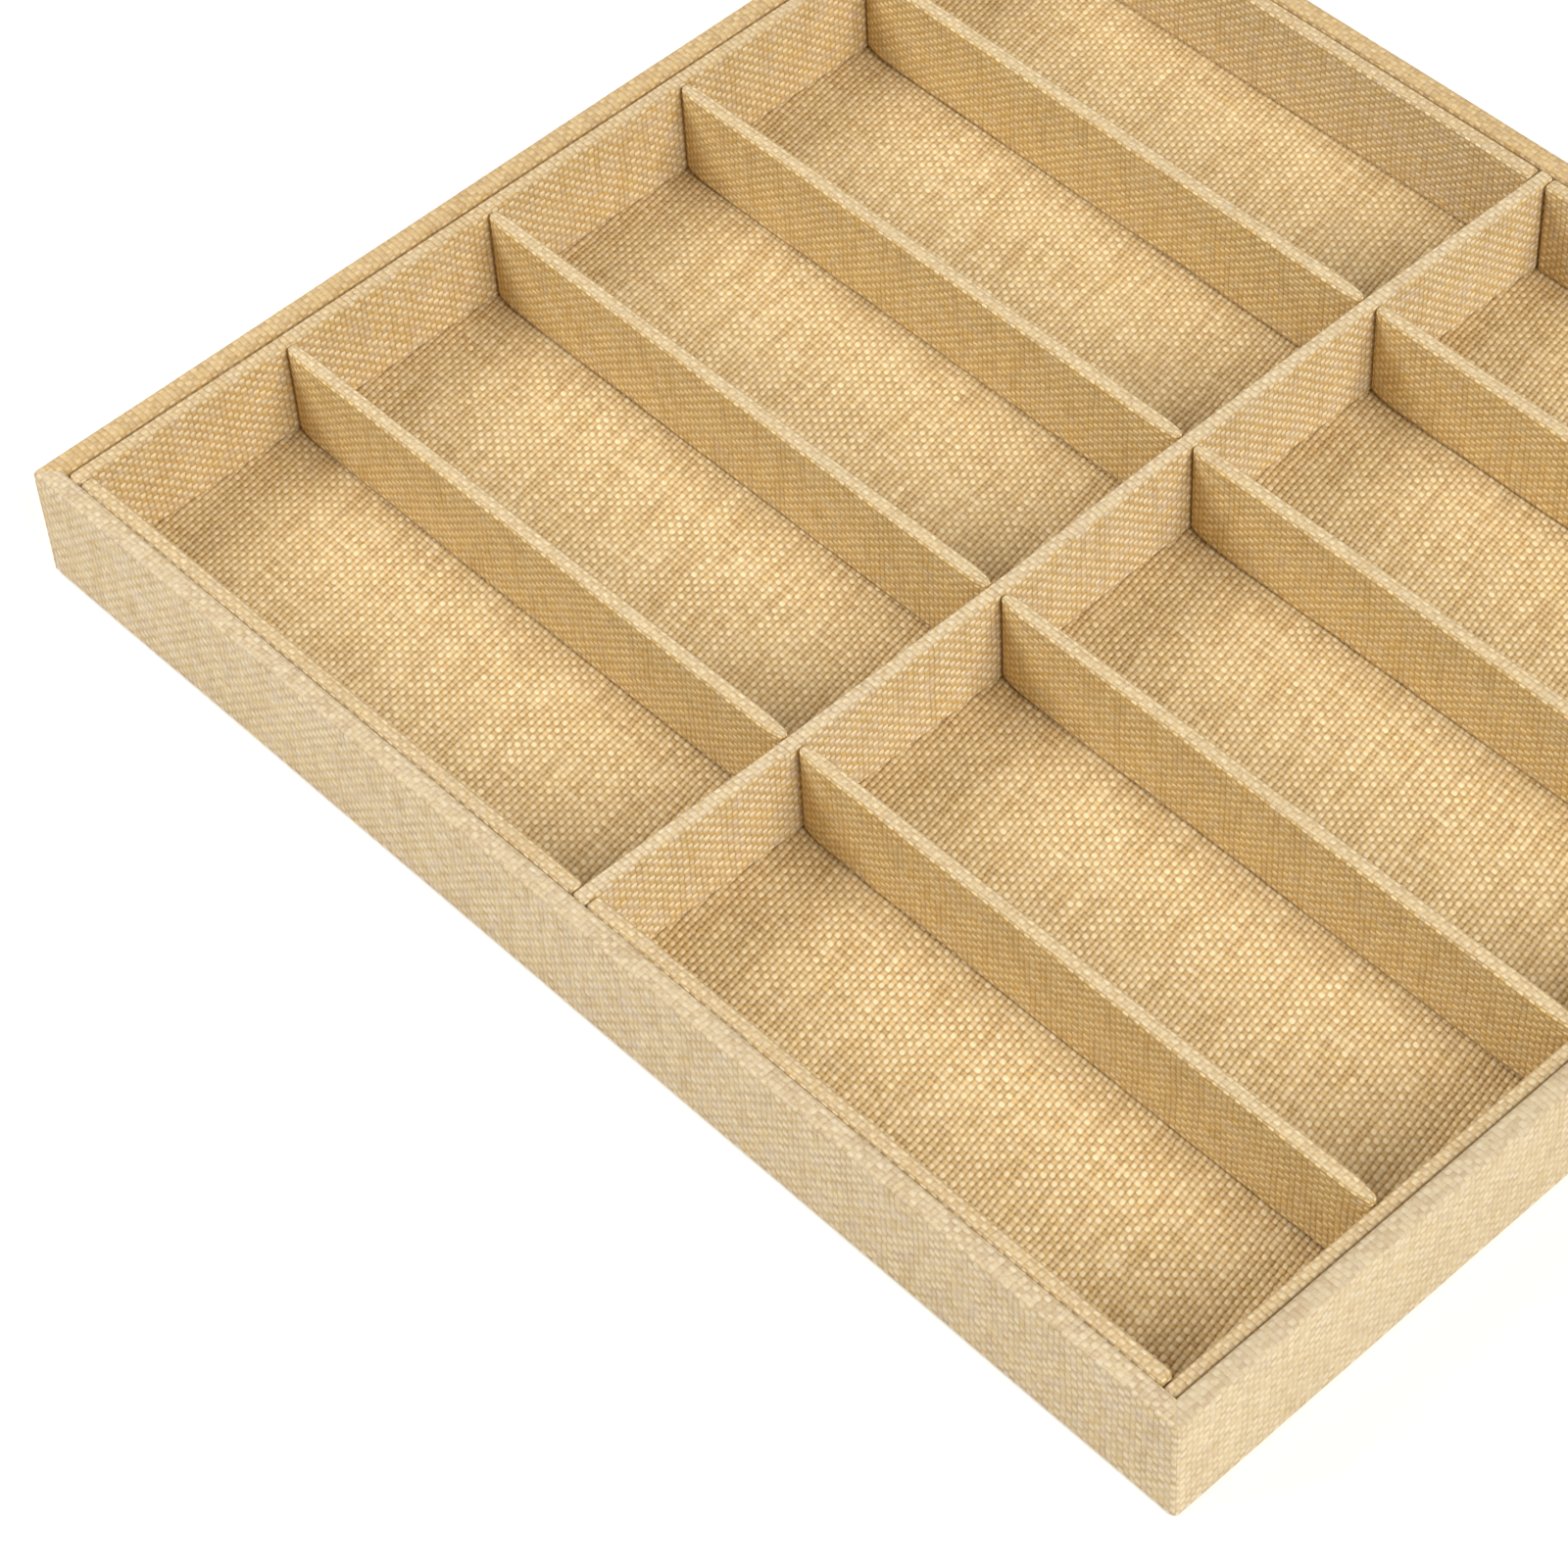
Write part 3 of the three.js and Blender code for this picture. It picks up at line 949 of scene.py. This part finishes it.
class Wall:
    """One wall of the frame, worked as if it were the front one and then turned to its side"""

    def __init__(self, side, settings):
        cloth_low, cloth_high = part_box("wall_linen_front")
        board_low, board_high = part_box("wall_board_front")
        tray_low, tray_high = CAD_BOX
        self.turn = math.radians(WALL_TURNS[side])
        self.cloth_start = self.turn
        self.length = tray_high.x - tray_low.x
        self.front = tray_low.y
        if side in ("left", "right"):
            self.length = tray_high.y - tray_low.y
            self.front = tray_low.x
        self.low = cloth_low.z
        self.high = cloth_high.z
        self.board_low = board_low.z
        self.hem = cloth_high.y - cloth_low.y
        self.thickness = board_high.y - cloth_low.y + board_low.y - cloth_low.y
        self.pull = CLOSE_PULL if side in ("left", "right") else OPEN_PULL
        self.settings = settings

    def strip(self):
        """The cloth as a long strip: hem, outside, rim and inside, with its folds rounded"""
        size = (self.length, self.thickness, self.high - self.low)
        middle = (0, self.front + self.thickness / 2, (self.low + self.high) / 2)
        shape = block(size, middle)
        open_sides = [face_towards(shape, side) for side in (ALONG_X, -ALONG_X, -UP)]
        bmesh.ops.delete(shape, geom=open_sides, context="FACES")
        bottom = [e for e in shape.edges if is_level_at(e, self.low)]
        inside, foot = sorted(bottom, key=lambda edge: -edge.verts[0].co.y)
        for vert in inside.verts:
            vert.co.z = self.board_low
        made = bmesh.ops.extrude_edge_only(shape, edges=[foot])["geom"]
        turned_in = [part for part in made if isinstance(part, bmesh.types.BMVert)]
        bmesh.ops.translate(shape, vec=(0, self.hem, 0), verts=turned_in)
        bmesh.ops.recalc_face_normals(shape, faces=shape.faces)
        rim = [e for e in shape.edges if is_level_at(e, self.high) and len(e.link_faces) == 2]
        round_edges(shape, rim, self.settings.rim_radius, 5)
        fold = [e for e in shape.edges if is_level_at(e, self.low) and len(e.link_faces) == 2]
        round_edges(shape, fold, self.settings.foot_radius, 3)
        return shape

    def round_corner(self, vert):
        """Draws the outside in near the tray's upright corner, so that the corner is round"""
        depth = vert.co.y - self.front
        radius = self.settings.corner_radius - depth
        from_end = self.length / 2 - abs(vert.co.x) - depth
        if radius > 0 and from_end < radius:
            reach = radius - max(from_end, 0)
            vert.co.y += radius - math.sqrt(radius * radius - reach * reach)

    def seams(self):
        """A point on each mitred end, and the direction that leads away from it"""
        for end in (-1, 1):
            corner = Vector((end * self.length / 2, self.front, 0))
            away = Vector((-end, -1, 0)).normalized()
            yield corner + away * SEAM_GAP, away

    def keep_off_seams(self, shape):
        """Puts back what the waves pushed past a mitred end"""
        for start, away in self.seams():
            for vert in shape.verts:
                past = min(0.0, (vert.co - start).dot(away))
                vert.co -= away * past

    def mitre(self, shape):
        """Cuts both ends to 45 degrees, and tucks them in where they meet the next wall"""
        thinness = shape.verts.layers.deform.verify()
        for start, away in self.seams():
            beside = start + away * SEAM_WIDTH
            bmesh.ops.bisect_plane(shape, geom=all_of(shape), plane_co=beside, plane_no=away)
            bmesh.ops.bisect_plane(
                shape, geom=all_of(shape), plane_co=start, plane_no=away, clear_inner=True
            )
            shape.normal_update()
            for vert in shape.verts:
                at_seam = abs((vert.co - start).dot(away)) < SEAM_MARGIN
                if at_seam:
                    vert.co -= vert.normal * SEAM_TUCK
                vert[thinness][0] = SEAM_THICKNESS if at_seam else vert[thinness].get(0, 1.0)

    def lay(self, point, normal):
        """Where a point of the wall lies on the flat cloth, on a stretch of its own"""
        depth = point.y - self.front
        down = (self.high - point.z) * self.pull
        run = depth - down if depth < self.thickness / 2 else depth + down
        return point.x + self.cloth_start, run

    def shape(self, seed):
        """The finished cloth of this wall, turned to its side"""
        shape = self.strip()
        round_part = self.length / 2 - self.settings.corner_radius
        steps = even_places(-round_part, round_part, WALL_STEP)
        for part in CORNER_CUTS:
            steps += [-round_part - self.settings.corner_radius * part]
            steps += [round_part + self.settings.corner_radius * part]
        cut_across(shape, ALONG_X, steps)
        clear_of_rim = self.high - self.settings.rim_radius * 1.4
        clear_of_foot = self.low + self.settings.foot_radius * 1.6
        cut_across(shape, UP, even_places(clear_of_foot, clear_of_rim, WALL_STEP))
        shape.normal_update()
        map_weave(shape, self.lay)
        for vert in shape.verts:
            self.round_corner(vert)
        self.mitre(shape)
        ruffle(shape, self.settings.unevenness, seed)
        self.keep_off_seams(shape)
        for vert in shape.verts:
            vert.co.z = max(vert.co.z, self.low)
        turn = Matrix.Rotation(self.turn, 3, "Z")
        bmesh.ops.rotate(shape, matrix=turn, verts=shape.verts)
        return shape


def floor_cloth(settings, skew):
    """The linen over the insert's floor card, turned down at its edges"""
    low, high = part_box("floor_linen")
    shape = block(high - low, (low + high) / 2)
    underside = face_towards(shape, -UP)
    bmesh.ops.delete(shape, geom=[underside], context="FACES_ONLY")
    corners = [e for e in shape.edges if is_upright(e)]
    round_edges(shape, corners, settings.foot_radius, 3)
    top = face_towards(shape, UP)
    round_edges(shape, list(top.edges), settings.foot_radius, 3)
    across = even_places(low.x + FLOOR_MARGIN, high.x - FLOOR_MARGIN, FLOOR_STEP)
    along = even_places(low.y + FLOOR_MARGIN, high.y - FLOOR_MARGIN, FLOOR_STEP)
    cut_across(shape, ALONG_X, across)
    cut_across(shape, ALONG_Y, along)
    shape.normal_update()
    map_weave(shape, lambda point, normal: (point.x + skew * point.y, point.y + point.z - high.z))
    for vert in shape.verts:
        wave = noise.noise(vert.co * FLOOR_WAVE_SCALE) * 0.5 + 0.5
        share = (vert.co.z - low.z) / (high.z - low.z)
        vert.co.z -= settings.unevenness * FLOOR_WAVE_SHARE * wave * share
    return shape


def finish_node(name, material):
    """Gives a solid that stays a new finish"""
    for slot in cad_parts[name].material_slots:
        slot.material = material


def add_object(name, data):
    """Puts a light or the camera in the scene"""
    made = bpy.data.objects.new(name, data)
    bpy.context.scene.collection.objects.link(made)
    return made


def add_softbox(name, power, stand):
    """A square area light that looks at the tray from where it stands"""
    light = bpy.data.lights.new(name, "AREA")
    light.energy = power
    light.shape = "SQUARE"
    light.size = stand.size
    softbox = add_object(name, light)
    azimuth = math.radians(stand.azimuth)
    elevation = math.radians(stand.elevation)
    level = math.cos(elevation)
    towards = Vector((level * math.cos(azimuth), level * math.sin(azimuth), math.sin(elevation)))
    softbox.location = towards * stand.distance
    softbox.rotation_euler = towards.to_track_quat("Z", "Y").to_euler()


class TRAY_OT_wall_cloths(bpy.types.Operator):
    """Cover the four walls with linen, with a fold seam at each corner"""

    bl_idname = "tray.wall_cloths"
    bl_label = "Cover the Walls"

    def execute(self, context):
        for seed, side in enumerate(WALL_TURNS):
            cloth = Wall(side, context.scene.tray_shape).shape(seed)
            linen = wall_linen(context, side)
            node = f"wall_linen_{side}"
            piece = add_piece(f"wall_cloth_{side}", cloth, linen, "frame_linen", "frame", node)
            give_thickness(piece, context.scene.tray_cloth.thickness, "Thickness")
        return {"FINISHED"}


class TRAY_OT_floor_cloth(bpy.types.Operator):
    """Lay the linen over the insert's floor"""

    bl_idname = "tray.floor_cloth"
    bl_label = "Cover the Floor"

    def execute(self, context):
        settings = context.scene.tray_cloth
        cloth = floor_cloth(context.scene.tray_shape, settings.floor_skew)
        linen = floor_linen(context)
        piece = add_piece("floor_cloth", cloth, linen, "insert_linen", "insert", "floor_linen")
        give_thickness(piece, settings.thickness)
        return {"FINISHED"}


class TRAY_OT_liners(bpy.types.Operator):
    """Cover the six liners that stand against the walls"""

    bl_idname = "tray.liners"
    bl_label = "Cover the Liners"

    def execute(self, context):
        add_group(context, ACROSS_WANDER, "liner_", END_LINER_SEED)
        add_group(context, ALONG_WANDER, "liner_", SIDE_LINER_SEED)
        return {"FINISHED"}


class TRAY_OT_centre_divider(bpy.types.Operator):
    """Cover the divider across the middle"""

    bl_idname = "tray.centre_divider"
    bl_label = "Cover the Centre Divider"

    def execute(self, context):
        add_upright(context, "centre_divider", CENTRE_SEED)
        return {"FINISHED"}


class TRAY_OT_short_dividers(bpy.types.Operator):
    """Cover the eight dividers between the rows"""

    bl_idname = "tray.short_dividers"
    bl_label = "Cover the Short Dividers"

    def execute(self, context):
        add_group(context, ALONG_WANDER, "divider_", SHORT_DIVIDER_SEED)
        return {"FINISHED"}


class TRAY_OT_boards(bpy.types.Operator):
    """Finish the boards, the floor card and the sheet underneath"""

    bl_idname = "tray.boards"
    bl_label = "Finish Boards and Sheet"

    def execute(self, context):
        board = shared("fibreboard_finish", board_material, *FIBREBOARD)
        finish_node("base_board", board)
        for side in WALL_TURNS:
            finish_node(f"wall_board_{side}", board)
        finish_node("floor_card", grey_card())
        finish_node("bottom_sheet", shared("kraft_paper_finish", paper_material, *KRAFT_PAPER))
        return {"FINISHED"}


class TRAY_OT_stage(bpy.types.Operator):
    """Set up the studio floor, the lights and the camera"""

    bl_idname = "tray.stage"
    bl_label = "Set the Stage"

    def execute(self, context):
        settings = context.scene.tray_stage
        ground = bmesh.new()
        bmesh.ops.create_grid(ground, x_segments=8, y_segments=8, size=FLOOR_REACH)
        bmesh.ops.translate(ground, vec=-UP * FLOOR_DROP, verts=ground.verts)
        mesh = bpy.data.meshes.new("studio_floor")
        ground.to_mesh(mesh)
        ground.free()
        finish = floor_material("studio_floor_finish", settings.floor_colour, settings.floor_glow)
        mesh.materials.append(finish)
        add_object("studio_floor", mesh)

        world = bpy.data.worlds.new("studio")
        world.use_nodes = True
        sky = world.node_tree.nodes["Background"]
        sky.inputs["Color"].default_value = with_alpha(settings.room_colour)
        sky.inputs["Strength"].default_value = settings.room_light
        context.scene.world = world
        context.scene.view_settings.view_transform = "Standard"
        add_softbox("right_light", settings.right_power, RIGHT_LIGHT)
        add_softbox("left_light", settings.left_power, LEFT_LIGHT)
        add_softbox("front_light", settings.front_power, FRONT_LIGHT)

        camera = bpy.data.cameras.new("camera")
        camera.lens = settings.lens
        camera.sensor_width = SENSOR_WIDTH
        camera.clip_start = 10 * MILLIMETRE
        viewer = add_object("camera", camera)
        turn = Matrix.Rotation(math.radians(CAMERA_TURN), 4, "Z")
        tip = Matrix.Rotation(math.radians(CAMERA_TIP), 4, "X")
        roll = Matrix.Rotation(math.radians(CAMERA_ROLL), 4, "Z")
        viewer.matrix_world = Matrix.Translation(CAMERA_PLACE) @ turn @ tip @ roll
        context.scene.camera = viewer
        return {"FINISHED"}


class TRAY_PT_panel(bpy.types.Panel):
    """Buttons and sizes for the display tray"""

    bl_idname = "TRAY_PT_panel"
    bl_label = "Linen Display Tray"
    bl_space_type = "VIEW_3D"
    bl_region_type = "UI"
    bl_category = "Tray"

    def draw(self, context):
        layout = self.layout
        for step in STEPS:
            layout.operator(step.bl_idname)
        for settings in (context.scene.tray_cloth, context.scene.tray_shape, context.scene.tray_stage):
            column = layout.column()
            for name in settings.__annotations__:
                column.prop(settings, name)


STEPS = (
    TRAY_OT_wall_cloths,
    TRAY_OT_floor_cloth,
    TRAY_OT_liners,
    TRAY_OT_centre_divider,
    TRAY_OT_short_dividers,
    TRAY_OT_boards,
    TRAY_OT_stage,
)
SETTINGS = (TrayClothSettings, TrayShapeSettings, TrayStageSettings)


def register():
    for kind in SETTINGS + STEPS + (TRAY_PT_panel,):
        bpy.utils.register_class(kind)
    bpy.types.Scene.tray_cloth = PointerProperty(type=TrayClothSettings)
    bpy.types.Scene.tray_shape = PointerProperty(type=TrayShapeSettings)
    bpy.types.Scene.tray_stage = PointerProperty(type=TrayStageSettings)


def unregister():
    del bpy.types.Scene.tray_stage
    del bpy.types.Scene.tray_shape
    del bpy.types.Scene.tray_cloth
    for kind in reversed(SETTINGS + STEPS + (TRAY_PT_panel,)):
        bpy.utils.unregister_class(kind)


def main():
    register()
    bpy.ops.tray.wall_cloths()
    bpy.ops.tray.floor_cloth()
    bpy.ops.tray.liners()
    bpy.ops.tray.centre_divider()
    bpy.ops.tray.short_dividers()
    bpy.ops.tray.boards()
    bpy.ops.tray.stage()


if __name__ == "__main__":
    main()
